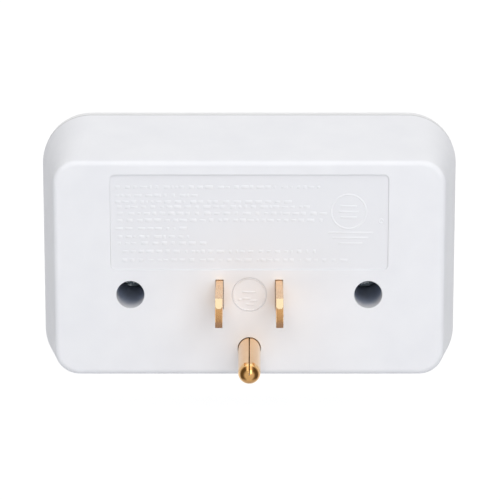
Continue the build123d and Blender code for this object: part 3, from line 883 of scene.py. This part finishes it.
@dataclass
class DiscMarks:
    """Raised edge and plain bars of the round mark between the blades, in millimetres.

    A bar is its centre across, its centre upwards and its width.
    """

    floor: float = 0.25
    rise: float = 0.17
    radius: float = 3.5
    band: float = 0.35
    bars: tuple[tuple[float, float, float], ...] = (
        (-0.1, 0.5, 2.9),
        (-0.6, -0.9, 1.8),
        (-1.9, -1.2, 0.9),
        (0.9, -1.4, 1.6),
        (0.2, -2.2, 1.6),
    )
    bar_height: float = 0.35

    def build(self, material: bpy.types.Material) -> None:
        """Makes the ring and the bars.

        Args:
            material: Material of the marks.
        """
        marks = Marking(self.floor, self.rise)
        marks.ring(0.0, 0.0, self.radius, self.band)
        for x, z, width in self.bars:
            marks.bar(x, z, width, self.bar_height)
        marks.finish("disc_marks", "rear_shell", material)


@dataclass
class SurgeProtector:
    """The whole object: dressed CAD pieces and the moulded marks."""

    label: LabelMarks = field(default_factory=LabelMarks)
    disc: DiscMarks = field(default_factory=DiscMarks)

    def dress(self) -> None:
        """Gives every CAD node the finish of its slot."""
        made = {slot: finish.make() for slot, finish in FINISHES.items()}
        slots = {row["node"]: row["material_slot"] for row in frame["record"]["subparts"]}
        for name, node in frame["nodes"].items():
            for place in node.material_slots:
                place.material = made[slots[name]]
            LOG.info("%s wears %s", name, slots[name])

    def build(self) -> None:
        """Dresses the CAD pieces and adds the moulded marks."""
        self.dress()
        marks = WHITE_MARKS.make()
        self.label.build(marks)
        self.disc.build(marks)


@dataclass(frozen=True)
class Lamp:
    """Square soft lamp, in metres and watts."""

    name: str
    place: Place
    size: float
    power: float
    mirrored: bool = True

    def hang(self, target: Place) -> None:
        """Hangs the lamp so that it faces a point.

        Args:
            target: The point in metres.
        """
        data = bpy.data.lights.new(self.name, "AREA")
        data.shape = "SQUARE"
        data.size = self.size
        data.energy = self.power
        lamp = show(self.name, data)
        lamp.visible_glossy = self.mirrored
        lamp.location = self.place
        lamp.rotation_euler = (Vector(target) - Vector(self.place)).to_track_quat("-Z", "Y").to_euler()


@dataclass
class Studio:
    """Floor, surroundings, lamps and camera, in metres, degrees and watts."""

    floor_drop: float = 0.030
    floor_size: float = 6.0
    floor_colour: Colour = (0.645, 0.66, 0.69)
    floor_roughness: float = 0.9
    floor_glow: float = 1.12
    glow_share: float = 0.85
    fill: float = 0.32
    lamps: tuple[Lamp, ...] = (
        Lamp("key_above", (0.05, -0.32, 0.95), 1.6, 8.5),
        Lamp("front_fill", (0.15, -1.0, 0.35), 0.7, 4.6),
        Lamp("outlet_fill", (-0.08, 1.0, 0.13), 0.5, 3.8, mirrored=False),
    )
    lamp_target: Place = (0.0, 0.01, 0.005)
    distance: float = 0.6
    elevation: float = 13.3
    lens_mm: float = 203.0
    sensor_mm: float = 36.0
    clip_start: float = 0.01
    aim: Place = (0.00015, 0.0, 0.0098)

    def floor(self) -> None:
        """Lays a large pale floor that keeps the object's shadow and looks white."""
        mesh = bmesh.new()
        bmesh.ops.create_grid(mesh, x_segments=1, y_segments=1, size=self.floor_size / 2)
        bmesh.ops.translate(mesh, vec=(0, 0, -self.floor_drop), verts=mesh.verts)
        data = bpy.data.meshes.new("floor")
        mesh.to_mesh(data)
        mesh.free()
        w = Wiring("pale_floor")
        w.shader.inputs["Base Color"].default_value = (*self.floor_colour, 1.0)
        w.shader.inputs["Roughness"].default_value = self.floor_roughness
        glow = w.node("ShaderNodeEmission")
        glow.inputs["Strength"].default_value = self.floor_glow
        share = w.node("ShaderNodeMath", operation="MULTIPLY")
        share.inputs[1].default_value = self.glow_share
        w.link(w.seen(), share.inputs[0])
        mix = w.node("ShaderNodeMixShader")
        w.link(share.outputs[0], mix.inputs["Fac"])
        w.link(w.shader.outputs["BSDF"], mix.inputs[1])
        w.link(glow.outputs["Emission"], mix.inputs[2])
        w.link(mix.outputs["Shader"], w.output.inputs["Surface"])
        data.materials.append(w.material)
        piece = show("floor", data)

    def surroundings(self) -> None:
        """Sets a world that looks white, in gloss too, but lights matt surfaces by the fill only."""
        world = bpy.data.worlds.new("studio_white")
        bpy.context.scene.world = world
        world.use_nodes = True
        graph = Graph(world.node_tree)
        background = graph.node("ShaderNodeBackground")
        background.inputs["Color"].default_value = (1.0, 1.0, 1.0, 1.0)
        strength = graph.node("ShaderNodeMapRange")
        strength.inputs["To Min"].default_value = self.fill
        strength.inputs["To Max"].default_value = 1.0
        graph.link(graph.seen(), strength.inputs["Value"])
        graph.link(strength.outputs["Result"], background.inputs["Strength"])
        output = graph.node("ShaderNodeOutputWorld")
        graph.link(background.outputs["Background"], output.inputs["Surface"])

    def camera(self) -> None:
        """Places the camera at the photograph's viewing angle."""
        data = bpy.data.cameras.new("camera")
        data.sensor_fit = "HORIZONTAL"
        data.sensor_width = self.sensor_mm
        data.lens = self.lens_mm
        data.clip_start = self.clip_start
        rise = math.radians(self.elevation)
        aim = Vector(self.aim)
        camera = show("camera", data)
        camera.location = aim + self.distance * Vector((0, -math.cos(rise), math.sin(rise)))
        camera.rotation_euler = (aim - camera.location).to_track_quat("-Z", "Y").to_euler()
        bpy.context.scene.camera = camera

    def build(self) -> None:
        """Sets up the whole studio."""
        bpy.context.scene.view_settings.view_transform = "Standard"
        self.floor()
        self.surroundings()
        for lamp in self.lamps:
            lamp.hang(self.lamp_target)
        self.camera()


def main() -> None:
    """Builds the object and its studio."""
    logging.basicConfig(level=logging.INFO, format="%(message)s")
    SurgeProtector().build()
    Studio().build()


if __name__ == "__main__":
    main()
